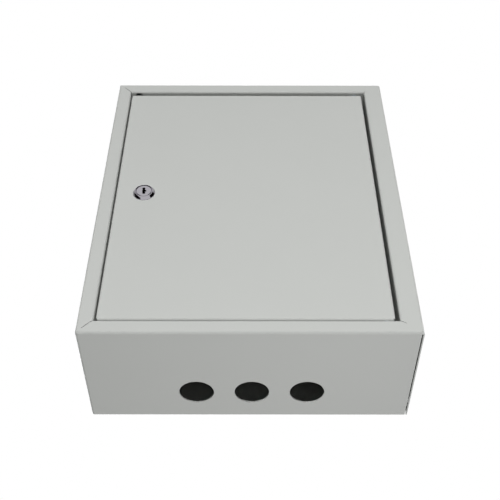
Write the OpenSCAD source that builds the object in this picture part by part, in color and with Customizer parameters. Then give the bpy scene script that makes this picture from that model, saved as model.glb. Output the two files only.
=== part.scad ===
// Wall-mounting electrical enclosure of folded sheet steel: two welded wall sheets with a mitred
// front frame, a back panel, an inset door on pins, a cam lock and a mounting panel inside.
// X runs to the right as seen from the front, Y into the wall and Z up.
// The origin is on the back face, at the centre of the four wall-fixing holes.

/* [Box] */
// Overall width
box_w = 300; // [260:5:420]
// Overall height
box_h = 370; // [320:5:600]
// Depth from the wall to the front of the rim
box_d = 122; // [100:1:200]
// Thickness of the folded sheets
sheet = 1.2; // [0.8:0.1:1.6]
// Inner radius of the folds
fold_r = 1.2; // [0.8:0.1:2]
// Open seam beside the wall that overlaps the end of the next one
seam = 1; // [0.4:0.1:2]
// Depth of the back panel's welded flanges
back_flange = 12; // [8:1:20]
// Side of the square relief at the back panel's corners
back_relief = 4; // [3.5:0.5:8]

/* [Front frame] */
// Width of the rim at the top, the bottom and the lock side
rim_w = 14.3; // [12:0.1:20]
// Width of the rim at the hinge side
hinge_rim_w = 19.5; // [13:0.5:26]
// Reach of the stop lip behind the door's free edge
stop_lip = 9; // [6:0.5:12]
// Clearance between the door's folded edge and the stop lip
stop_gap = 0.4; // [0.3:0.1:1]
// Width of the open slit in each mitred corner
mitre_slit = 0.5; // [0.3:0.1:0.8]
// Length of the slit at the top left corner, the rest is welded
slit_top_left = 11.5; // [1:0.5:15]
// Length of the slit at the bottom left corner
slit_bottom_left = 13; // [1:0.5:14]
// Length of the slit at the bottom right corner
slit_bottom_right = 6; // [1:0.5:15]
// Length of the slit at the top right corner
slit_top_right = 2.5; // [1:0.5:14]
// Diameter of the paint-hanging hole in the top return
hang_hole_d = 7.5; // [4:0.5:9]
// Distance of the hanging hole from the left wall
hang_hole_in = 23; // [21:1:60]
// Distance of the hanging hole from the front of the rim
hang_hole_back = 5.5; // [5.5:0.5:10]

/* [Door] */
// Depth of the door's face behind the rim
door_recess = 2.5; // [0:0.1:5]
// Depth of the door's folded edges
door_edge = 14; // [12:0.5:20]
// Gap beside the door at the lock side
lock_gap = 1.1; // [1:0.1:3]
// Gap beside the door at the hinge side
hinge_gap = 3.1; // [3:0.1:6]
// Gap above and below the door
end_gap = 2.7; // [1.5:0.1:5]
// Diameter of the relief at the door's corners
door_relief_d = 3.6; // [3.5:0.1:5]

/* [Hinge] */
// Distance of the hinge axis from the door's edge
hinge_in = 8; // [7:0.5:12]
// Diameter of the hinge pins
hinge_pin_d = 6; // [4:0.5:6.5]
// Diameter of the pins' heads
hinge_head_d = 9; // [7.5:0.5:9]
// Thickness of the pins' heads
hinge_head_t = 2; // [1:0.5:4]
// Clearance between the pins' heads and the fold of the door's face
hinge_head_play = 0.1; // [0.1:0.1:0.5]
// Diameter of the spacing washers on the pins
hinge_washer_d = 11; // [9:0.5:12]
// Thickness of the retaining clips
clip_t = 0.8; // [0.5:0.1:1.2]
// Radial clearance of the pins in their holes
pin_play = 0.06; // [0.02:0.01:0.1]
// Clearance between a washer and the frame
washer_play = 0.2; // [0.1:0.1:0.5]

/* [Lock] */
// Distance of the lock's axis from the door's free edge
lock_in = 28.2; // [26:0.1:34]
// Distance of the lock's axis below the door's middle
lock_drop = 1.5; // [-60:0.5:60]
// Width of the bezel past the barrel, where it meets the door
bezel_rim = 1.85; // [1.2:0.05:4]
// Diameter of the bezel's front rim
bezel_face_d = 18.2; // [17.6:0.1:20]
// Height of the bezel above the door
bezel_h = 3.2; // [3:0.1:6]
// Diameter of the threaded barrel
barrel_d = 18.6; // [17:0.1:20]
// Depth of the barrel's two flats
flat_cut = 1.3; // [1:0.05:1.9]
// Diameter of the plug's face
plug_face_d = 15.8; // [14:0.1:16]
// Wall of the barrel around the plug
barrel_wall = 3.3; // [2.8:0.05:4]
// Side of the square tail that carries the cam
tail = 7; // [6:0.1:8]
// Height of the keyway
key_h = 9.6; // [7:0.1:10]
// Width of the keyway between its lobes
key_w = 1.9; // [1.2:0.1:2]
// Diameter of the keyway's end lobes
key_lobe_d = 2.5; // [2:0.1:2.6]
// Depth of the keyway
key_depth = 11; // [6:0.5:13]
// Reach of the cam from the lock's axis
cam_reach = 30; // [28:0.5:36]
// Width of the cam
cam_w = 14; // [12:0.5:18]
// Thickness of the cam
cam_t = 2; // [1.5:0.1:3]
// Clearance between the cam and the stop lip
cam_gap = 0.6; // [0.4:0.1:2]
// Wall of the lock's nut across its flats
lock_nut_wall = 2.55; // [1.5:0.05:4]
// Thickness of the lock nut
lock_nut_t = 4.5; // [3:0.5:6]
// Clearance of the barrel in the door, the washer and the nut
lock_play = 0.15; // [0.1:0.05:0.3]

/* [Cable entries] */
// Diameter of the holes in the bottom wall
entry_d = 32; // [16:0.5:40]
// Distance between the holes
entry_pitch = 51; // [46:0.5:70]
// Distance of the holes from the wall
entry_from_wall = 36; // [32:1:60]
// Shift of the row to the hinge side
entry_shift = 2; // [-10:0.5:10]
// Number of holes
entry_count = 3; // [1:1:3]

/* [Wall fixing and mounting panel] */
// Distance of the wall-fixing holes from the box's sides
fix_in = 17; // [16:0.5:24]
// Diameter of the wall-fixing holes
fix_d = 8; // [5:0.5:10]
// Distance of the mounting panel from the box's sides
panel_in = 35; // [32:0.5:50]
// Depth of the mounting panel's folded feet
panel_edge = 12; // [6:0.5:20]
// Distance of the panel's studs from its sides
stud_in = 20; // [14:1:40]
// Diameter of the welded studs
stud_d = 6; // [5:1:6]
// Length of the studs past the sheet or panel that they hold
stud_past = 10.5; // [10:0.5:14]
// Radial clearance of the studs in the holes around them
stud_play = 0.3; // [0.2:0.1:0.6]
// Distance of the body's earth stud from the box's bottom
earth_up = 45; // [41:1:120]
// Distance of the door's earth stud from the door's lower and hinge-side edges
door_earth_in = 36; // [24:1:60]

/* [Hidden] */
$fn = 64;

// Margin by which a cutting shape passes what it cuts
past = 1;
powder_grey = "#c5c7c4";
zinc = "#b9c3cb";
chrome = "#d9dadd";
galvanised = "#b4babd";

// Places worked out from the sizes above
fold_out = fold_r + sheet;
half_w = box_w / 2;
half_h = box_h / 2;
front_y = -box_d;
door_y = front_y + door_recess;
door_inner_y = door_y + sheet;
door_l = -half_w + rim_w + lock_gap;
door_r = half_w - hinge_rim_w - hinge_gap;
door_w = door_r - door_l;
door_x = (door_l + door_r) / 2;
door_h = box_h - 2 * (rim_w + end_gap);
return_d = door_recess + door_edge + stop_gap + sheet;
hinge_x = door_r - hinge_in;
hinge_y = door_y + fold_out + hinge_head_d / 2 + hinge_head_play;
lock_x = door_l + lock_in;
lock_z = -lock_drop;
cam_y = front_y + return_d + cam_gap;
back_inner_y = -sheet;
panel_front_y = back_inner_y - panel_edge;
panel_w = box_w - 2 * panel_in;
panel_h = box_h - 2 * panel_in;
fix_w = box_w - 2 * fix_in;
fix_h = box_h - 2 * fix_in;

// Standard fasteners: M6 studs, nuts and washers, an M5 cam screw
nut_flats = 10;
nut_t = 5;
washer_d = 12;
washer_t = 1.6;
weld_collar_d = 8;
weld_collar_t = 1;
screw_d = 5;
screw_head_d = 8.6;
screw_head_t = 3.4;
screw_l = 7;
screw_hole_l = 8;
screw_socket = 4;
cam_washer_d = 11;
cam_washer_t = 1;
lock_washer_rim = 2.55;
lock_washer_t = 1;

// Details of the lock and the hinge
bezel_d = barrel_d + 2 * bezel_rim;
barrel_flats = barrel_d - 2 * flat_cut;
plug_d = barrel_d - 2 * barrel_wall;
lock_hole_d = barrel_d + 2 * lock_play;
lock_washer_d = lock_hole_d + 2 * lock_washer_rim;
lock_nut_flats = lock_hole_d + 2 * lock_nut_wall;
bezel_land = 0.9;
plug_face_t = 1.9;
plug_face_play = 0.45;
plug_sink = 0.25;
plug_float = 0.15;
cam_float = 0.2;
tail_play = 0.1;
ward_w = 3.5;
key_lean = 7;
ward_h = 2.1;
ward_shift = 0.35;
ward_drop = 0.3;
clip_groove = 0.5;
clip_rim = 2;
clip_snap = 0.5;
clip_groove_d = hinge_pin_d - 2 * clip_groove;
clip_d = hinge_pin_d + 2 * clip_rim;
clip_mouth = clip_groove_d - 2 * clip_snap;
clip_play = 0.1;
pin_end = 2;

// A flat shape drawn as seen from the front, from y back over a depth
module from_front(y, depth) {
    translate([0, y + depth, 0]) rotate([90, 0, 0]) linear_extrude(depth) children();
}

// A shape drawn along Z, laid along Y with its foot at a place
module along_y(place) {
    translate(place) rotate([-90, 0, 0]) children();
}

// A quarter of a sheet's fold about a centre, turned in steps of 90 degrees
module fold(centre, turn) {
    translate(centre) rotate(turn) intersection() {
        difference() {
            circle(fold_out);
            circle(fold_r);
        }
        square(2 * fold_out);
    }
}

// A flat ring
module ring(outer_d, inner_d, t) {
    linear_extrude(t) difference() {
        circle(d = outer_d);
        circle(d = inner_d);
    }
}

// A hexagon nut
module hex_nut(flats, inner_d, t) {
    linear_extrude(t) difference() {
        circle(d = flats / cos(30), $fn = 6);
        circle(d = inner_d);
    }
}

// The point at a distance past b on the line from a to b
function beyond(a, b, distance) = b + distance * (b - a) / norm(b - a);

// Section of one side of the front frame: u inwards from the wall's outer face, v back from the front
module frame_section(w, lip) {
    turned_in = lip > 0 ? fold_out : 0;
    fold([fold_out, fold_out], 180);
    translate([fold_out, 0]) square([w - 2 * fold_out, sheet]);
    fold([w - fold_out, fold_out], 270);
    translate([w - sheet, fold_out]) square([sheet, return_d - fold_out - turned_in]);
    if (lip > 0) {
        fold([w + fold_r, return_d - fold_out], 90);
        translate([w + fold_r, return_d - sheet]) square([lip - fold_r, sheet]);
    }
}

// One straight side of the front frame, turned about Y and cut to a mitred outline
module frame_side(turn, half, run, w, lip, outline) {
    intersection() {
        rotate([0, turn, 0]) translate([-half, front_y, -run / 2])
            linear_extrude(run) frame_section(w, lip);
        from_front(front_y - past, return_d + 2 * past) polygon(outline);
    }
}

// The open part of a mitre, from its inner corner outwards
module mitre_cut(inner, outer, open) {
    run = outer - inner;
    translate([inner.x, front_y - past, inner.y]) rotate([0, -atan2(run.y, run.x), 0])
        translate([-past, 0, -mitre_slit / 2])
            cube([open + past, return_d + 2 * past, mitre_slit]);
}

// One wall sheet with its part of the front frame, drawn as the left and the bottom wall.
// slits gives the open lengths at the fold, at the side wall's far end and at the bottom's far end.
module wall_sheet(side_rim, far_rim, lip, slits) {
    fold_corner = [-half_w + fold_out, -half_h + fold_out];
    side_corner = [-half_w, half_h];
    far_corner = [half_w, -half_h];
    fold_inner = [-half_w + side_rim, -half_h + rim_w];
    side_inner = [-half_w + side_rim, half_h - rim_w];
    far_inner = [half_w - far_rim, -half_h + rim_w];
    lip_past = 2 * lip + past;
    difference() {
        union() {
            from_front(front_y + fold_out, box_d - fold_out) {
                translate([-half_w, fold_corner.y]) square([sheet, box_h - fold_out]);
                fold(fold_corner, 180);
                translate([fold_corner.x, -half_h]) square([box_w - fold_out - sheet - seam, sheet]);
            }
            translate([fold_corner.x, front_y + fold_out, fold_corner.y]) rotate([180, 0, -90])
                rotate_extrude(angle = 90) fold([0, 0], 0);
            frame_side(0, half_w, box_h, side_rim, lip, [
                beyond(side_inner, side_corner, past), [-half_w - past, fold_corner.y], fold_corner,
                beyond(fold_corner, fold_inner, lip_past), beyond(side_corner, side_inner, lip_past)
            ]);
            frame_side(-90, half_h, box_w, rim_w, 0, [
                [fold_corner.x, -half_h - past], beyond(far_inner, far_corner, past),
                beyond(far_corner, far_inner, past), beyond(fold_corner, fold_inner, past), fold_corner
            ]);
        }
        mitre_cut(fold_inner, fold_corner, slits[0]);
        mitre_cut(side_inner, side_corner, slits[1]);
        mitre_cut(far_inner, far_corner, slits[2]);
    }
}

// A pan: a flat face at y = 0 with four edges folded back, mitred at the corners
module pan(w, h, edge) {
    from_front(0, sheet) square([w - 2 * fold_out, h - 2 * fold_out], center = true);
    for (turn = [0, 90, 180, 270]) {
        across = turn % 180 == 0 ? w : h;
        run = turn % 180 == 0 ? h : w;
        deep = fold_out + past;
        rotate([0, turn, 0]) intersection() {
            translate([-across / 2, 0, -run / 2]) linear_extrude(run) {
                fold([fold_out, fold_out], 180);
                translate([0, fold_out]) square([sheet, edge - fold_out]);
            }
            from_front(-past, edge + 2 * past) translate([-across / 2, 0]) polygon([
                [-past, -run / 2 - past], [deep, -run / 2 + deep],
                [deep, run / 2 - deep], [-past, run / 2 + past]
            ]);
        }
    }
}

// The hole for a hinge pin through a folded edge or return, at its height
module hinge_hole(z) {
    translate([hinge_x, hinge_y, z]) cylinder(r = hinge_pin_d / 2 + pin_play, h = 4 * sheet, center = true);
}

module left_bottom_shell() color(powder_grey) difference() {
    wall_sheet(rim_w, hinge_rim_w, stop_lip, [slit_bottom_left, slit_top_left, slit_bottom_right]);
    for (i = [0 : entry_count - 1]) {
        entry_x = entry_shift + (i - (entry_count - 1) / 2) * entry_pitch;
        translate([entry_x, -entry_from_wall, -half_h]) cylinder(d = entry_d, h = 4 * sheet, center = true);
    }
    hinge_hole(-half_h + rim_w);
}

module top_right_shell() color(powder_grey) difference() {
    rotate([0, 180, 0])
        wall_sheet(hinge_rim_w, rim_w, 0, [slit_top_right, slit_bottom_right, slit_top_left]);
    translate([-half_w + hang_hole_in, front_y + hang_hole_back, half_h - rim_w])
        cylinder(d = hang_hole_d, h = 6 * sheet, center = true);
    hinge_hole(half_h - rim_w);
}

module back_panel() color(powder_grey) difference() {
    rotate([0, 0, 180]) pan(box_w - 2 * sheet, box_h - 2 * sheet, back_flange);
    for (x = [-1, 1], z = [-1, 1]) {
        translate([x * (half_w - sheet), -back_flange / 2, z * (half_h - sheet)])
            cube([2 * back_relief, back_flange + 2 * past, 2 * back_relief], center = true);
        translate([x * fix_w / 2, 0, z * fix_h / 2]) rotate([90, 0, 0])
            cylinder(d = fix_d, h = 4 * sheet, center = true);
    }
}

// The four stud places of the mounting panel
module at_panel_studs(y) {
    for (x = [-1, 1], z = [-1, 1])
        translate([x * (panel_w / 2 - stud_in), y, z * (panel_h / 2 - stud_in)])
            rotate([90, 0, 0]) children();
}

module mounting_panel() color(galvanised) difference() {
    translate([-panel_w / 2, panel_front_y, -panel_h / 2]) linear_extrude(panel_h) {
        fold([fold_out, fold_out], 180);
        fold([panel_w - fold_out, fold_out], 270);
        translate([fold_out, 0]) square([panel_w - 2 * fold_out, sheet]);
        for (x = [0, panel_w - sheet])
            translate([x, fold_out]) square([sheet, panel_edge - fold_out]);
    }
    at_panel_studs(panel_front_y) cylinder(r = stud_d / 2 + stud_play, h = 4 * sheet, center = true);
}

// A stud with its weld collar, standing on a sheet
module weld_stud(l) {
    cylinder(d = weld_collar_d, h = weld_collar_t);
    cylinder(d = stud_d, h = l);
}

module panel_studs() color(zinc) at_panel_studs(back_inner_y) weld_stud(panel_edge + stud_past);

module panel_washers() color(zinc)
    at_panel_studs(panel_front_y) ring(washer_d, stud_d + 2 * stud_play, washer_t);

module panel_nuts() color(zinc)
    at_panel_studs(panel_front_y - washer_t) hex_nut(nut_flats, stud_d, nut_t);

// The body's earth stud stands on the back panel beside the mounting panel
module at_body_earth(y) {
    translate([-(panel_w / 2 + half_w) / 2, y, -half_h + earth_up]) rotate([90, 0, 0]) children();
}

module body_earth_stud() color(zinc) at_body_earth(back_inner_y) weld_stud(stud_past + weld_collar_t);

module body_earth_washer() color(zinc)
    at_body_earth(back_inner_y - weld_collar_t) ring(washer_d, stud_d, washer_t);

module body_earth_nut() color(zinc)
    at_body_earth(back_inner_y - weld_collar_t - washer_t) hex_nut(nut_flats, stud_d, nut_t);

module door_panel() color(powder_grey) difference() {
    translate([door_x, door_y, 0]) pan(door_w, door_h, door_edge);
    for (x = [-1, 1], z = [-1, 1])
        along_y([door_x + x * door_w / 2, door_y - past, z * door_h / 2])
            cylinder(d = door_relief_d, h = door_edge + 2 * past);
    from_front(door_y - past, sheet + 2 * past) translate([lock_x, lock_z]) barrel_section(lock_play);
    for (z = [-1, 1])
        hinge_hole(z * door_h / 2);
}

// A hinge pin along Z: head inside the door's edge, shank through the edge, the gap and the return
module hinge_pin() {
    through = sheet + end_gap + sheet + washer_play;
    translate([0, 0, -hinge_head_t]) cylinder(d = hinge_head_d, h = hinge_head_t);
    cylinder(d = hinge_pin_d, h = through);
    translate([0, 0, through]) cylinder(d = clip_groove_d, h = clip_t + clip_play);
    translate([0, 0, through + clip_t + clip_play]) cylinder(d = hinge_pin_d, h = pin_end);
}

// The inner faces of the door's upper and lower edges, where the pins' heads seat
module at_hinge(z) {
    translate([hinge_x, hinge_y, 0]) rotate([z > 0 ? 0 : 180, 0, 0])
        translate([0, 0, door_h / 2 - sheet]) children();
}

module upper_hinge_pin() color(zinc) at_hinge(1) hinge_pin();

module lower_hinge_pin() color(zinc) at_hinge(-1) hinge_pin();

module hinge_washers() color(zinc) for (z = [-1, 1])
    at_hinge(z) translate([0, 0, sheet]) ring(hinge_washer_d, hinge_pin_d + 2 * pin_play, end_gap - washer_play);

module hinge_clips() color(zinc) for (z = [-1, 1])
    at_hinge(z) translate([0, 0, 2 * sheet + end_gap + washer_play]) linear_extrude(clip_t) difference() {
        circle(d = clip_d);
        circle(d = clip_groove_d);
        translate([0, -clip_mouth / 2]) square([clip_d, clip_mouth]);
    }

// The door's earth stud stands on the inside of the door
module at_door_earth(y) {
    along_y([door_r - door_earth_in, y, -door_h / 2 + door_earth_in]) children();
}

module door_earth_stud() color(zinc) at_door_earth(door_inner_y) weld_stud(stud_past + weld_collar_t);

module door_earth_washer() color(zinc)
    at_door_earth(door_inner_y + weld_collar_t) ring(washer_d, stud_d, washer_t);

module door_earth_nut() color(zinc)
    at_door_earth(door_inner_y + weld_collar_t + washer_t) hex_nut(nut_flats, stud_d, nut_t);

// Section of the lock's barrel: round with two flats, and room around it where play is given
module barrel_section(play) {
    intersection() {
        circle(r = barrel_d / 2 + play);
        square([barrel_flats + 2 * play, 2 * barrel_d], center = true);
    }
}

module lock_housing() color(chrome) along_y([lock_x, door_y, lock_z]) difference() {
    union() {
        rotate_extrude() polygon([
            [0, 0], [bezel_d / 2, 0], [bezel_d / 2, -bezel_land],
            [bezel_face_d / 2, -bezel_h], [0, -bezel_h]
        ]);
        linear_extrude(cam_y - door_y - cam_float) barrel_section(0);
    }
    translate([0, 0, -bezel_h - past])
        cylinder(r = plug_face_d / 2 + plug_face_play, h = plug_sink + plug_face_t + plug_float + past);
    translate([0, 0, -bezel_h]) cylinder(r = plug_d / 2 + pin_play, h = cam_y - door_y + bezel_h + past);
}

module lock_washer() color(zinc) along_y([lock_x, door_inner_y, lock_z])
    ring(lock_washer_d, lock_hole_d, lock_washer_t);

module lock_nut() color(zinc) along_y([lock_x, door_inner_y + lock_washer_t, lock_z])
    hex_nut(lock_nut_flats, lock_hole_d, lock_nut_t);

// The keyway as seen from the front: a slot between two round lobes, with a ward to one side
module keyway() {
    square([key_w, key_h - key_lobe_d], center = true);
    for (y = [-1, 1])
        translate([0, y * (key_h - key_lobe_d) / 2]) circle(d = key_lobe_d);
    translate([ward_shift, -ward_drop]) square([ward_w, ward_h], center = true);
}

module lock_plug() color(chrome) {
    face_y = door_y - bezel_h + plug_sink;
    difference() {
        union() {
            along_y([lock_x, face_y, lock_z]) cylinder(d = plug_face_d, h = plug_face_t);
            along_y([lock_x, face_y, lock_z]) cylinder(d = plug_d, h = cam_y - face_y);
            along_y([lock_x, cam_y, lock_z]) linear_extrude(cam_t) square(tail, center = true);
        }
        from_front(face_y - past, key_depth + past) translate([lock_x, lock_z]) rotate(key_lean) keyway();
        along_y([lock_x, cam_y + cam_t - screw_hole_l, lock_z]) cylinder(d = screw_d, h = screw_hole_l + past);
    }
}

// The cam hangs down from the plug's tail while the lock is open
module lock_cam() color(zinc) from_front(cam_y, cam_t) translate([lock_x, lock_z]) difference() {
    union() {
        circle(d = cam_w);
        translate([-cam_w / 2, -cam_reach]) square([cam_w, cam_reach]);
    }
    square(tail + 2 * tail_play, center = true);
}

module cam_washer() color(zinc) along_y([lock_x, cam_y + cam_t, lock_z])
    ring(cam_washer_d, screw_d, cam_washer_t);

module cam_screw() color(zinc) along_y([lock_x, cam_y + cam_t + cam_washer_t, lock_z]) difference() {
    union() {
        cylinder(d = screw_head_d, h = screw_head_t);
        translate([0, 0, -cam_washer_t - screw_l]) cylinder(d = screw_d, h = cam_washer_t + screw_l);
    }
    translate([0, 0, screw_head_t / 2]) cylinder(d = screw_socket / cos(30), h = screw_head_t, $fn = 6);
}

left_bottom_shell();
top_right_shell();
back_panel();
mounting_panel();
panel_studs();
panel_washers();
panel_nuts();
body_earth_stud();
body_earth_washer();
body_earth_nut();
door_panel();
upper_hinge_pin();
lower_hinge_pin();
hinge_washers();
hinge_clips();
door_earth_stud();
door_earth_washer();
door_earth_nut();
lock_housing();
lock_washer();
lock_nut();
lock_plug();
lock_cam();
cam_washer();
cam_screw();
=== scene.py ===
# %% [markdown]
# A sheet-steel electrical enclosure, dressed for its picture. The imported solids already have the
# folded walls, the inset door and the lock, so they come in as a fixed frame. This lesson gives
# them their finishes, and models the small things that the solids leave plain.

# %% Load the frame
import math

import bpy
from mathutils import Matrix, Vector


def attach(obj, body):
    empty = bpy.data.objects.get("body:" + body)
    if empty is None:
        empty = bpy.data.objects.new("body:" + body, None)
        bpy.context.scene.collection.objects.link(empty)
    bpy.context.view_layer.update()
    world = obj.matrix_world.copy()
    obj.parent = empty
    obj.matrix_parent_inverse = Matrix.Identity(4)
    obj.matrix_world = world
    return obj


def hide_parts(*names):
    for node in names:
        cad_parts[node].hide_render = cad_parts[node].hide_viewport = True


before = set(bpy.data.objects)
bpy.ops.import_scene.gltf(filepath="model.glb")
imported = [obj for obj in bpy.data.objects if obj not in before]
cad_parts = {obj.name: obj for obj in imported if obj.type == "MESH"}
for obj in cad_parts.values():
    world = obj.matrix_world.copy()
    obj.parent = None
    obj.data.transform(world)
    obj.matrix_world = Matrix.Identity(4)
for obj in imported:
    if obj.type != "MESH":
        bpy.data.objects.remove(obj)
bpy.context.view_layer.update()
bpy.ops.object.select_all(action="DESELECT")
MM = 0.001

# %% [markdown]
# The camera comes first, because everything else is judged through it. The box is pictured lying
# on its back, from its bottom end and 45 degrees above. The box here stands upright, as it hangs
# on a wall, so the same view is from the front and 45 degrees below. The lens follows from how
# much narrower the far end looks than the near end.

# %% Camera
PHOTO_PX, FOCAL_PX, SENSOR_MM = 500, 866.0, 36.0
CAMERA_PLACE = (-0.0007, -0.6954, -0.6579)
CAMERA_TILT, CAMERA_PAN = 134.97, -0.088
bpy.ops.object.camera_add(
    location=CAMERA_PLACE, rotation=(math.radians(CAMERA_TILT), 0, math.radians(CAMERA_PAN))
)
camera = bpy.context.object
camera.name = "camera"
camera.data.sensor_width = SENSOR_MM
camera.data.lens = SENSOR_MM * FOCAL_PX / PHOTO_PX
camera.data.clip_start = 0.01
bpy.context.scene.camera = camera
print("lens", round(camera.data.lens, 2), "mm")

# %% [markdown]
# One function turns a colour, written as in a paint chart, into the linear values that a shader
# takes. One more adds a node with its settings and its links, and one maps a value from 0 to 1 to
# a range, so that a material reads as a list.

# %% Colours and nodes
def linear(code):
    """A sRGB hex colour as linear red, green, blue and alpha."""
    parts = [int(code[i : i + 2], 16) / 255 for i in (1, 3, 5)]
    return [c / 12.92 if c <= 0.04045 else ((c + 0.055) / 1.055) ** 2.4 for c in parts] + [1.0]


def add_node(tree, kind, settings=None, inputs=None, links=None):
    """Add a node of a kind; links maps an input's name to an output socket."""
    node = tree.nodes.new(kind)
    for name, value in (settings or {}).items():
        setattr(node, name, value)
    for name, value in (inputs or {}).items():
        node.inputs[name].default_value = value
    for name, socket in (links or {}).items():
        tree.links.new(socket, node.inputs[name])
    return node


def empty_tree(owner):
    """The node tree of a world or a material, with nothing in it yet."""
    owner.use_nodes = True
    owner.node_tree.nodes.clear()
    return owner.node_tree


def between(tree, low, high, value):
    """A number between a low and a high one, as a value goes from 0 to 1."""
    ends = {"To Min": low, "To Max": high}
    return add_node(tree, "ShaderNodeMapRange", inputs=ends, links={"Value": value}).outputs[0]


print("powder grey", [round(c, 3) for c in linear("#c5c7c4")])

# %% [markdown]
# The studio is white all round, as for a cut-out picture. What the camera and the reflections see
# is white, and what lights the matt paint is a plain grey sky, so that no colour is washed out. The
# Light Path node tells these rays apart.

# %% World
SKY = 0.13


def seen_by(tree, *rays):
    """A value that is 1 for these kinds of ray and 0 for all others."""
    path = add_node(tree, "ShaderNodeLightPath")
    value = path.outputs[rays[0]]
    for ray in rays[1:]:
        links = {0: value, 1: path.outputs[ray]}
        value = add_node(tree, "ShaderNodeMath", {"operation": "MAXIMUM"}, links=links).outputs[0]
    return value


world = bpy.context.scene.world or bpy.data.worlds.new("studio")
bpy.context.scene.world = world
sky = empty_tree(world)
seen = seen_by(sky, "Is Camera Ray", "Is Glossy Ray", "Is Transmission Ray")
backdrop = add_node(
    sky,
    "ShaderNodeBackground",
    inputs={"Color": linear("#ffffff")},
    links={"Strength": between(sky, SKY, 1.0, seen)},
)
add_node(sky, "ShaderNodeOutputWorld", links={"Surface": backdrop.outputs[0]})
print("sky", SKY)

# %% [markdown]
# The floor is far below, because the box hangs on a wall and the camera looks up at it. It is a
# sheet of paper: white for the camera and for reflections, and a plain grey for the light that it
# throws back.

# %% Floor
FLOOR_Z, FLOOR_SIZE = -2.0, 12
bpy.ops.mesh.primitive_plane_add(size=FLOOR_SIZE, location=(0, 0, 0))
floor = bpy.context.object
floor.name = "floor"
bpy.ops.object.mode_set(mode="EDIT")
bpy.ops.mesh.subdivide(number_cuts=3)
bpy.ops.transform.translate(value=(0, 0, FLOOR_Z))
bpy.ops.object.mode_set(mode="OBJECT")
paper = bpy.data.materials.new("white paper floor")
tree = empty_tree(paper)
seen = seen_by(tree, "Is Camera Ray", "Is Glossy Ray")
matt = add_node(tree, "ShaderNodeBsdfDiffuse", inputs={"Color": linear("#a3a3a1")})
white = add_node(tree, "ShaderNodeEmission", inputs={"Color": linear("#ffffff")})
both = add_node(
    tree, "ShaderNodeMixShader", links={0: seen, 1: matt.outputs[0], 2: white.outputs[0]}
)
add_node(tree, "ShaderNodeOutputMaterial", links={"Surface": both.outputs[0]})
floor.data.materials.append(paper)
print("floor at", FLOOR_Z, "m")

# %% [markdown]
# Five soft lamps with a limited beam. The front and the low lamp stand far off and are aimed at the
# near end of the front, so it gets more light than the far end. The low one also lights the inside
# of the top gap, where the hanging hole shows. Both are flat and keep clear of the slope at which
# light through the bottom gap would land behind the cable holes. The under lamp stands behind the
# box and grazes the bottom wall from there, so it lights no rounded front edge and does not reach
# into the holes. Two weak lamps are for the sides the camera misses.

# %% Lamps
def facing(place, target):
    """The turn that points a lamp from its place to a target."""
    aim = [t - p for t, p in zip(target, place)]
    return (math.atan2(math.hypot(aim[0], aim[1]), -aim[2]), 0, -math.atan2(aim[0], aim[1]))


def soft_lamp(name, place, target, width, height, power, beam):
    """A soft box at a place, turned to a target, with a power in watts and a beam in degrees."""
    bpy.ops.object.light_add(type="AREA", location=place, rotation=facing(place, target))
    lamp = bpy.context.object
    lamp.name = name
    lamp.data.shape = "RECTANGLE"
    lamp.data.size, lamp.data.size_y = width, height
    lamp.data.energy = power
    lamp.data.spread = math.radians(beam)
    lamp.visible_camera = False
    print(name, round(lamp.data.energy, 2), "W")
    return lamp


front_lamp = soft_lamp(
    "front lamp", (0.05, -5.0, 0.1), (0.2, -0.12, -1.0), width=0.8, height=0.2, power=18.3, beam=75
)
low_lamp = soft_lamp(
    "low lamp", (0.05, -5.0, -1.4), (0.2, -0.12, -0.28), width=0.8, height=0.2, power=19.9, beam=75
)
front_lamp.visible_glossy = low_lamp.visible_glossy = False
soft_lamp(
    "under lamp", (0.35, 0.76, -1.25), (-0.66, -1.95, -0.185),
    width=0.5, height=0.3, power=6.2, beam=100,
)
soft_lamp(
    "side lamp", (2.2, 0.9, 0.8), (0.1, -0.03, 0), width=0.8, height=0.8, power=3.2, beam=50
)
soft_lamp("back lamp", (-1.6, 1.9, 1.4), (0, 0, 0), width=0.8, height=0.8, power=4.4, beam=50)

# %% [markdown]
# Polished metal shows the room. Two black cards stand beside the box, out of the picture, as a
# photographer sets them: they draw the dark shapes on the lock's bezel.

# %% Cards
LOCK = (-0.1064, -0.122, -0.0015)
felt = bpy.data.materials.new("black felt card")
tree = empty_tree(felt)
matt = add_node(tree, "ShaderNodeBsdfDiffuse", inputs={"Color": linear("#151515")})
add_node(tree, "ShaderNodeOutputMaterial", links={"Surface": matt.outputs[0]})


def black_card(name, start, end, width):
    """A strip of black card from a start to an end, facing the lock, hidden from the camera."""
    start, end = Vector(start), Vector(end)
    along = (end - start).normalized()
    out = (Vector(LOCK) - (start + end) / 2).normalized()
    across = along.cross(out).normalized()
    out = across.cross(along)
    bpy.ops.mesh.primitive_plane_add(size=1, location=(0, 0, 0))
    card = bpy.context.object
    card.name = name
    bpy.ops.object.mode_set(mode="EDIT")
    bpy.ops.transform.resize(value=(width, (end - start).length, 1))
    bpy.ops.mesh.subdivide(number_cuts=1)
    bpy.ops.object.mode_set(mode="OBJECT")
    card.rotation_euler = Matrix((across, along, out)).transposed().to_euler()
    card.location = (start + end) / 2
    bpy.ops.object.transform_apply(location=True, rotation=True, scale=True)
    card.visible_camera = False
    card.data.materials.append(felt)
    print(name, round((end - start).length, 2), "m long")


black_card("left card", (-1.1, -0.22, 0.6), (-1.1, -0.63, -1.5), width=0.68)
black_card("right card", (0.79, -0.19, 0.71), (0.935, -0.694, -0.42), width=0.46)

# %% [markdown]
# The finishes are built from a few patterns that all read object coordinates and have their sizes
# in millimetres: a noise, a blend of two colours by it, and fine bumps. Each finish then names the
# inputs of its shader that the patterns feed.

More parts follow.
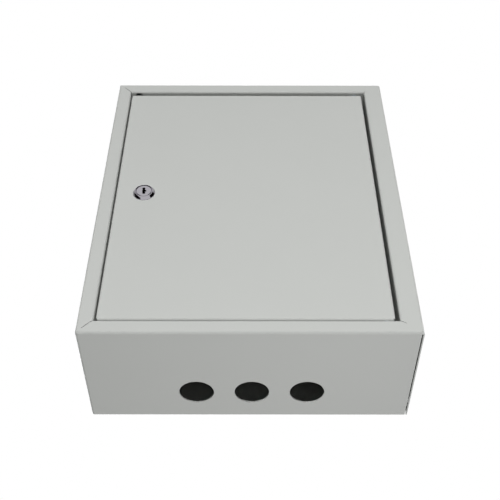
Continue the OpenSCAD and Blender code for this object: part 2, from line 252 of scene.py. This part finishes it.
# %% Patterns for finishes
def new_material(name):
    """An empty node material with its shader and object coordinates."""
    material = bpy.data.materials.new(name)
    tree = empty_tree(material)
    place = add_node(tree, "ShaderNodeTexCoord").outputs["Object"]
    shader = add_node(tree, "ShaderNodeBsdfPrincipled")
    add_node(tree, "ShaderNodeOutputMaterial", links={"Surface": shader.outputs[0]})
    return material, tree, place, shader


def noise(tree, place, size_mm, detail, roughness=0.5):
    """A noise whose patches are about so many mm wide."""
    inputs = {"Scale": 1 / (size_mm * MM), "Detail": detail, "Roughness": roughness}
    made = add_node(tree, "ShaderNodeTexNoise", inputs=inputs, links={"Vector": place})
    return made.outputs["Fac"]


def blend(tree, one, other, share):
    """A colour between two, by the share of the other."""
    inputs = {6: linear(one), 7: linear(other)}
    made = add_node(tree, "ShaderNodeMix", {"data_type": "RGBA"}, inputs=inputs, links={0: share})
    return made.outputs[2]


def bumps(tree, height, strength, deep_mm):
    """Bumps from a pattern, as deep as so many mm."""
    inputs = {"Strength": strength, "Distance": deep_mm * MM}
    return add_node(tree, "ShaderNodeBump", inputs=inputs, links={"Height": height}).outputs[0]


def feed(material, shader, sockets):
    """Link the named inputs of a material's shader to what feeds them."""
    for name, output in sockets.items():
        material.node_tree.links.new(output, shader.inputs[name])
    print(material.name, "with patterns for", list(sockets))


# %% [markdown]
# Powder coat: polyester powder, sprayed on the bare sheet and baked. It flows out to a semi-matt
# skin with a fine orange peel, about two millimetres from crest to crest and some micrometres
# high. The eye gets an even light grey with a soft, slightly broken sheen.

# %% Powder coat
PEEL_MM, PEEL_DEEP_MM, POWDER_CLOUD_MM = 2.2, 0.03, 45
powder, tree, place, shader = new_material("polyester powder coat, light grey, semi-matt")
peel = noise(tree, place, PEEL_MM, 2.0, 0.45)
cloud = noise(tree, place, POWDER_CLOUD_MM, 3.0)
shader.inputs["IOR"].default_value = 1.5
feed(
    powder,
    shader,
    {
        "Base Color": blend(tree, "#c4c6c3", "#c6c8c5", cloud),
        "Roughness": between(tree, 0.56, 0.68, peel),
        "Normal": bumps(tree, peel, 0.25, PEEL_DEEP_MM),
    },
)

# %% [markdown]
# Zinc plate: a thin electroplated layer with a clear blue passivate, on studs, nuts, washers and
# hinge pins. It is a bright cool metal with faint yellow and blue clouds from the passivate, and
# fine tumbling marks that blur its reflections. The marks are drawn coarser than real ones, because
# those would be too fine to show.

# %% Zinc plate
ZINC_CLOUD_MM, MARK_MM, MARK_DEEP_MM = 6, 0.6, 0.01
zinc, tree, place, shader = new_material("zinc plate, bright, blue passivated")
cloud = noise(tree, place, ZINC_CLOUD_MM, 3.0)
marks = noise(tree, place, MARK_MM, 4.0)
shader.inputs["Metallic"].default_value = 1.0
feed(
    zinc,
    shader,
    {
        "Base Color": blend(tree, "#c9d6e2", "#d6d9d8", cloud),
        "Roughness": between(tree, 0.22, 0.38, marks),
        "Normal": bumps(tree, marks, 0.2, MARK_DEEP_MM),
    },
)

# %% [markdown]
# Chrome plate: the lock's housing and plug are zinc die castings, polished and plated. The face
# reflects sharply, with only a little haze from handling.

# %% Chrome plate
HAZE_MM = 3
chrome, tree, place, shader = new_material("chrome plate on die-cast zinc, polished")
haze = noise(tree, place, HAZE_MM, 4.0)
shader.inputs["Metallic"].default_value = 1.0
feed(
    chrome,
    shader,
    {
        "Base Color": blend(tree, "#a19fa5", "#b0adb3", haze),
        "Roughness": between(tree, 0.06, 0.16, haze),
    },
)

# %% [markdown]
# Galvanised sheet: the mounting panel is cut from hot-dip galvanised coil. The zinc freezes in
# crystals, the spangle, each a few millimetres across with its own shade of grey. A Voronoi texture
# gives each crystal a random colour: its red sets the shade and its green the gloss.

# %% Galvanised sheet
SPANGLE_MM = 7
galvanised, tree, place, shader = new_material("hot-dip galvanised sheet, small spangle")
crystal = add_node(
    tree,
    "ShaderNodeTexVoronoi",
    inputs={"Scale": 1 / (SPANGLE_MM * MM), "Detail": 1.0},
    links={"Vector": place},
)
shade = add_node(tree, "ShaderNodeSeparateColor", links={"Color": crystal.outputs["Color"]})
shader.inputs["Metallic"].default_value = 1.0
feed(
    galvanised,
    shader,
    {
        "Base Color": blend(tree, "#a0a6a9", "#b7bcbe", shade.outputs[0]),
        "Roughness": between(tree, 0.34, 0.5, shade.outputs[1]),
    },
)

# %% [markdown]
# Most nodes have the right shape as they come, so each keeps its mesh and takes the finish of its
# slot in the record. The pieces that are modelled further down take theirs from the same list.

# %% Finishes on the nodes
FINISH = {
    "powder_coat": powder,
    "zinc_plate": zinc,
    "chrome_plate": chrome,
    "galvanised_steel": galvanised,
}
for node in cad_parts.values():
    for slot in node.material_slots:
        slot.material = FINISH[slot.material.name.split(".")[0]]
print("finished", len(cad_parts), "nodes")

# %% [markdown]
# The lock, the studs and the nuts are turned and threaded, and the solids have them plain. A turned
# piece is easiest as on a lathe: a circle about Z, extruded and resized from ring to ring. A ring
# that shrinks to a pole is merged to one point, so the piece is closed.

# %% Turned pieces
POLE = 0.02
POLE_MERGE = 2.5 * POLE
ROUND_SIDES = 72


def turned(name, rings):
    """A round piece about Z, through rings of (radius, height) in mm."""
    bpy.ops.object.select_all(action="DESELECT")
    radius, height = rings[0]
    bpy.ops.mesh.primitive_circle_add(
        vertices=ROUND_SIDES, radius=radius * MM, location=(0, 0, 0)
    )
    piece = bpy.context.object
    piece.name = name
    bpy.ops.object.mode_set(mode="EDIT")
    bpy.ops.mesh.select_all(action="SELECT")
    bpy.ops.transform.translate(value=(0, 0, height * MM))
    for next_radius, next_height in rings[1:]:
        rise = (next_height - height) * MM
        bpy.ops.mesh.extrude_region_move(TRANSFORM_OT_translate={"value": (0, 0, rise)})
        grow = next_radius / radius
        bpy.ops.transform.resize(value=(grow, grow, 1), center_override=(0, 0, next_height * MM))
        radius, height = next_radius, next_height
    bpy.ops.mesh.select_all(action="SELECT")
    bpy.ops.mesh.remove_doubles(threshold=POLE_MERGE * MM)
    bpy.ops.mesh.normals_make_consistent(inside=False)
    bpy.ops.object.mode_set(mode="OBJECT")
    return piece


# %% [markdown]
# A screw thread is one tooth of a 60 degree V, wound about the axis by the Screw modifier. The
# tooth is a three-sided circle whose side is just under the pitch, so that neighbouring turns don't
# touch. The core of the screw hides its root.

# %% Screw threads
TOOTH_SHARE = 0.96
TURN_STEPS = 32


def screw_thread(name, diameter, pitch, low, high):
    """A V-shaped tooth, wound about Z from a low to a high end, in mm."""
    reach = TOOTH_SHARE * pitch / math.sqrt(3)
    bpy.ops.object.select_all(action="DESELECT")
    bpy.ops.mesh.primitive_circle_add(vertices=3, radius=reach * MM, location=(0, 0, 0))
    tooth = bpy.context.object
    tooth.name = name
    tooth.rotation_euler = Matrix(((0, 1, 0), (0, 0, 1), (1, 0, 0))).to_euler()
    tooth.location = ((diameter / 2 - reach) * MM, 0, (low + pitch / 2) * MM)
    bpy.ops.object.transform_apply(location=True, rotation=True, scale=True)
    wind = tooth.modifiers.new("wind", "SCREW")
    wind.axis, wind.screw_offset = "Z", pitch * MM
    wind.iterations = int((high - low) / pitch) - 1
    wind.steps = wind.render_steps = TURN_STEPS
    bpy.ops.object.modifier_apply(modifier=wind.name)
    bpy.ops.object.mode_set(mode="EDIT")
    bpy.ops.mesh.select_all(action="SELECT")
    bpy.ops.mesh.fill_holes(sides=3)
    bpy.ops.mesh.normals_make_consistent(inside=False)
    bpy.ops.object.mode_set(mode="OBJECT")
    return tooth


# %% [markdown]
# A piece is made about Z at the origin, where it is easy to think about. Then it is joined from its
# shapes, turned and set at its place in the box, and stands for the plain node: it takes that
# node's finish, moves with the same body, and hides the node.

# %% Joining and placing
OUTWARD, INWARD = 90, -90
SMOOTH_BELOW = 35


def pick(*pieces):
    """Select these pieces alone, with the first one active."""
    bpy.ops.object.select_all(action="DESELECT")
    for piece in pieces:
        piece.select_set(True)
    bpy.context.view_layer.objects.active = pieces[0]


def joined(*pieces):
    """Several pieces made one."""
    pick(*pieces)
    bpy.ops.object.join()
    return pieces[0]


def set_in_place(piece, place, turn):
    """Turn a piece about X, so that its Z points outward or inward, and place it, in mm."""
    piece.rotation_euler = (math.radians(turn), 0, 0)
    piece.location = [v * MM for v in place]
    pick(piece)
    bpy.ops.object.transform_apply(location=True, rotation=True, scale=True)
    return piece


def stand_for(piece, node, body, slot):
    """Shade a piece, give it its finish and its body, and let it stand for a node."""
    pick(piece)
    bpy.ops.object.shade_smooth_by_angle(angle=math.radians(SMOOTH_BELOW))
    piece.data.materials.clear()
    piece.data.materials.append(FINISH[slot])
    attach(piece, body)
    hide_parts(node)
    print(piece.name, len(piece.data.polygons), "faces")


# %% [markdown]
# The lock's housing: a bezel with a conical flank and a narrow front rim, around a groove in which
# the plug's face turns, and behind it a threaded barrel. Two flats keep the barrel from turning in
# its hole, so the thread and the core are cut by two planes.

# %% Lock housing
DOOR_Y = -119.5
LOCK_MM = (-106.4, DOOR_Y, -1.5)
BARREL_L, BARREL_FLAT, THREAD_D = 16.0, 8.0, 18.6
BEZEL_RINGS = [
    (6.06, 0.0), (6.06, 0.9), (8.45, 0.9), (8.45, 3.0), (8.6, 3.2), (8.9, 3.2), (9.05, 3.1),
    (9.7, 2.3), (10.35, 1.45), (10.95, 0.6), (11.1, 0.35), (11.15, 0.15), (11.15, 0.0),
    (6.06, 0.0),
]
BARREL_RINGS = [
    (6.12, 0.4), (8.75, 0.4), (8.75, -15.3), (8.2, -BARREL_L), (6.12, -BARREL_L), (6.12, 0.4),
]
bezel = turned("lock_housing_turned", BEZEL_RINGS)
barrel = turned("barrel", BARREL_RINGS)
thread = screw_thread("barrel thread", THREAD_D, pitch=1.0, low=-15.2, high=-0.2)
for part in (barrel, thread):
    pick(part)
    bpy.ops.object.mode_set(mode="EDIT")
    for side in (1, -1):
        bpy.ops.mesh.select_all(action="SELECT")
        bpy.ops.mesh.bisect(
            plane_co=(side * BARREL_FLAT * MM, 0, 0),
            plane_no=(side, 0, 0),
            use_fill=True,
            clear_outer=True,
        )
    bpy.ops.mesh.select_all(action="SELECT")
    bpy.ops.mesh.normals_make_consistent(inside=False)
    bpy.ops.object.mode_set(mode="OBJECT")
housing = set_in_place(joined(bezel, barrel, thread), LOCK_MM, OUTWARD)
stand_for(housing, "lock_housing", "door", "chrome_plate")

# %% [markdown]
# The plug is cut by a tool, and so are the nuts further down. A Boolean modifier does that. It can
# leave points that all but coincide, so they are merged afterwards.

# %% Cutting
CUT_MERGE = 0.002


def cut(piece, tool, operation="DIFFERENCE"):
    """Cut a piece with a tool, or keep only what both share, and put the tool away."""
    change = piece.modifiers.new("cut", "BOOLEAN")
    change.operation, change.object = operation, tool
    change.solver, change.use_self = "EXACT", True
    pick(piece)
    bpy.ops.object.modifier_apply(modifier=change.name)
    bpy.data.objects.remove(tool)
    bpy.ops.object.mode_set(mode="EDIT")
    bpy.ops.mesh.select_all(action="SELECT")
    bpy.ops.mesh.remove_doubles(threshold=CUT_MERGE * MM)
    bpy.ops.mesh.normals_make_consistent(inside=False)
    bpy.ops.object.mode_set(mode="OBJECT")
    return piece


# %% [markdown]
# The plug: a face with a softened edge on a round shank, a keyway with two lobes and a ward to one
# side, and a square tail for the cam. The keyway is cut with a tool that is joined from simple
# shapes. Its floor slants, like the row of pins in a real lock, so that it looks dark from straight
# in front.

# %% Lock plug
PLUG_FACE = 2.95
PLUG_RINGS = [
    (POLE, -16.2), (5.9, -16.2), (5.9, 1.05), (7.3, 1.05), (7.6, 1.35), (7.6, 2.65),
    (7.35, PLUG_FACE), (POLE, PLUG_FACE),
]
KEY_DEEP, KEY_LEAN = 11.0, 4
KEY_TOOL_L = 2 * KEY_DEEP + 8
KEY_SLANT = (0.8, 0, 0.6)
LOBE_R, LOBE_UP = 1.6, 3.25
SLOT, WARD = (2.5, 6.7, 0, 0), (4.1, 2.5, 0.4, -0.3)
TAIL_SIZE, TAIL_UP = (7, 7, 2.4), -17.0
plug = turned("lock_plug_turned", PLUG_RINGS)
lobes = []
for up in (LOBE_UP, -LOBE_UP):
    bpy.ops.mesh.primitive_cylinder_add(
        vertices=32, radius=LOBE_R * MM, depth=KEY_TOOL_L * MM,
        location=(0, up * MM, PLUG_FACE * MM),
    )
    lobes.append(bpy.context.object)
for width, height, x, up in (SLOT, WARD):
    bpy.ops.mesh.primitive_cube_add(size=1, location=(x * MM, up * MM, PLUG_FACE * MM))
    bpy.context.object.scale = (width * MM, height * MM, KEY_TOOL_L * MM)
    lobes.append(bpy.context.object)
for lobe in lobes:
    pick(lobe)
    bpy.ops.object.transform_apply(location=True, rotation=True, scale=True)
    bpy.ops.object.mode_set(mode="EDIT")
    bpy.ops.mesh.select_all(action="SELECT")
    bpy.ops.mesh.bisect(
        plane_co=(0, 0, (PLUG_FACE - KEY_DEEP) * MM),
        plane_no=KEY_SLANT,
        use_fill=True,
        clear_inner=True,
    )
    bpy.ops.mesh.select_all(action="SELECT")
    bpy.ops.mesh.normals_make_consistent(inside=False)
    bpy.ops.object.mode_set(mode="OBJECT")
key_tool = joined(*lobes)
key_tool.rotation_euler = (0, 0, math.radians(KEY_LEAN))
plug = cut(plug, key_tool)
bpy.ops.mesh.primitive_cube_add(size=1, location=(0, 0, TAIL_UP * MM))
tail = bpy.context.object
tail.scale = [v * MM for v in TAIL_SIZE]
pick(tail)
bpy.ops.object.transform_apply(location=True, rotation=True, scale=True)
plug = set_in_place(joined(plug, tail), LOCK_MM, OUTWARD)
stand_for(plug, "lock_plug", "lock", "chrome_plate")

# %% [markdown]
# Nuts: a hexagon whose corners are turned off at 30 degrees, which leaves the round arcs on its
# flats. Only the shape that a six-sided bar and a turned drum share is kept, and then it is bored.
# The drum reaches past both ends, so that no two faces lie on each other.

# %% Nuts
CHAMFER = math.radians(30)
CHAMFER_START = 0.47
LEAD_SHARE = 0.12


def hexagon_nut(name, flats, bore, thick):
    """A chamfered hexagon nut about Z, from 0 to its thickness, in mm."""
    corner = flats / 2 / math.cos(math.radians(30))
    bpy.ops.object.select_all(action="DESELECT")
    bpy.ops.mesh.primitive_cylinder_add(
        vertices=6, radius=corner * MM, depth=thick * MM, location=(0, 0, thick / 2 * MM),
        rotation=(0, 0, math.radians(30)),
    )
    nut = bpy.context.object
    nut.name = name
    bpy.ops.object.transform_apply(location=True, rotation=True, scale=True)
    drop = (corner - CHAMFER_START * flats) * math.tan(CHAMFER)
    wide, over = corner + 0.05, 0.3
    low = CHAMFER_START * flats - over / math.tan(CHAMFER)
    drum = [(POLE, -over), (low, -over), (wide, drop), (wide, thick - drop)]
    drum += [(low, thick + over), (POLE, thick + over)]
    nut = cut(nut, turned("drum", drum), "INTERSECT")
    lead = LEAD_SHARE * bore
    tool = [(POLE, -1), (bore / 2 + lead + 1, -1), (bore / 2, lead), (bore / 2, thick - lead)]
    tool += [(bore / 2 + lead + 1, thick + 1), (POLE, thick + 1)]
    return cut(nut, turned("bore", tool))


def copies(name, piece, places, turn):
    """A copy of a piece at each place, made one."""
    made = []
    for place in places:
        pick(piece)
        bpy.ops.object.duplicate()
        made.append(set_in_place(bpy.context.object, place, turn))
    whole = joined(*made)
    whole.name = name
    return whole


STUDS = [(x, z) for x in (-95, 95) for z in (-130, 130)]
BODY_EARTH, DOOR_EARTH = (-132.5, -140), (91.4, -132)
PANEL_NUT_Y, BODY_NUT_Y, DOOR_NUT_Y, LOCK_NUT_Y = -14.8, -3.8, -115.7, -117.3
m6_nut = hexagon_nut("m6_nut", flats=10, bore=5.6, thick=5)
nut_places = [(x, PANEL_NUT_Y, z) for x, z in STUDS]
panel_nuts = copies("panel_nuts_chamfered", m6_nut, nut_places, OUTWARD)
stand_for(panel_nuts, "panel_nuts", "housing", "zinc_plate")
nut_places = [(BODY_EARTH[0], BODY_NUT_Y, BODY_EARTH[1])]
body_nut = copies("body_earth_nut_chamfered", m6_nut, nut_places, OUTWARD)
stand_for(body_nut, "body_earth_nut", "housing", "zinc_plate")
nut_places = [(DOOR_EARTH[0], DOOR_NUT_Y, DOOR_EARTH[1])]
door_nut = copies("door_earth_nut_chamfered", m6_nut, nut_places, INWARD)
stand_for(door_nut, "door_earth_nut", "door", "zinc_plate")
bpy.data.objects.remove(m6_nut)
lock_nut = hexagon_nut("lock_nut_chamfered", flats=24, bore=18.7, thick=4.5)
set_in_place(lock_nut, (LOCK_MM[0], LOCK_NUT_Y, LOCK_MM[2]), INWARD)
stand_for(lock_nut, "lock_nut", "door", "zinc_plate")

# %% [markdown]
# Weld studs: an M6 thread of 1 mm pitch on a core, with a weld collar at its foot and a bevelled
# end that finds the nut.

# %% Weld studs
BACK_Y, DOOR_BACK_Y = -1.2, -118.3
PANEL_STUD_L, EARTH_STUD_L = 22.5, 11.5


def weld_stud(name, length):
    """A threaded stud about Z on its weld collar, in mm."""
    collar = [(POLE, 0), (4, 0), (4, 0.65), (3.6, 1.0)]
    core = [(2.5, 1.0), (2.5, length - 0.7), (2.0, length), (POLE, length)]
    stud = turned(name, collar + core)
    return joined(stud, screw_thread("stud thread", 6, pitch=1.0, low=1.1, high=length - 0.4))


long_stud = weld_stud("long_stud", PANEL_STUD_L)
stud_places = [(x, BACK_Y, z) for x, z in STUDS]
panel_studs = copies("panel_studs_threaded", long_stud, stud_places, OUTWARD)
stand_for(panel_studs, "panel_studs", "housing", "zinc_plate")
bpy.data.objects.remove(long_stud)
body_stud = weld_stud("body_earth_stud_threaded", EARTH_STUD_L)
set_in_place(body_stud, (BODY_EARTH[0], BACK_Y, BODY_EARTH[1]), OUTWARD)
stand_for(body_stud, "body_earth_stud", "housing", "zinc_plate")
door_stud = weld_stud("door_earth_stud_threaded", EARTH_STUD_L)
set_in_place(door_stud, (DOOR_EARTH[0], DOOR_BACK_Y, DOOR_EARTH[1]), INWARD)
stand_for(door_stud, "door_earth_stud", "door", "zinc_plate")

# %% [markdown]
# Washers, pins, clips, the cam and its screw are stamped or turned, and barrel plating rounds their
# edges. A merged copy of each node gets a narrow bevel, because only such edges catch the light.

# %% Rounded edges
NODE_MERGE = 0.001
FLAT_BELOW, SHARP_ABOVE = 1, 50
ROUNDED = (
    ("housing", 0.2, ("panel_washers", "body_earth_washer")),
    ("door", 0.2, ("upper_hinge_pin", "lower_hinge_pin", "hinge_washers")),
    ("door", 0.2, ("door_earth_washer", "lock_washer")),
    ("lock", 0.25, ("lock_cam", "cam_washer", "cam_screw")),
    ("door", 0.12, ("hinge_clips",)),
)


def softened(node, width):
    """A copy of a node's mesh, merged, with its sharp edges rounded by a width in mm."""
    piece = bpy.data.objects.new(node + "_rounded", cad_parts[node].data.copy())
    bpy.context.collection.objects.link(piece)
    pick(piece)
    bpy.ops.mesh.customdata_custom_splitnormals_clear()
    bpy.ops.object.mode_set(mode="EDIT")
    bpy.ops.mesh.select_all(action="SELECT")
    bpy.ops.mesh.remove_doubles(threshold=NODE_MERGE * MM)
    bpy.ops.mesh.dissolve_limited(angle_limit=math.radians(FLAT_BELOW))
    bpy.ops.object.mode_set(mode="OBJECT")
    rounding = piece.modifiers.new("rounding", "BEVEL")
    rounding.width, rounding.segments = width * MM, 2
    rounding.limit_method, rounding.angle_limit = "ANGLE", math.radians(SHARP_ABOVE)
    bpy.ops.object.modifier_apply(modifier=rounding.name)
    return piece


for body, width, nodes in ROUNDED:
    for node in nodes:
        stand_for(softened(node, width), node, body, "zinc_plate")

# %% [markdown]
# Last, the view transform is set to Standard.

# %% View transform and end
bpy.context.scene.view_settings.view_transform = "Standard"
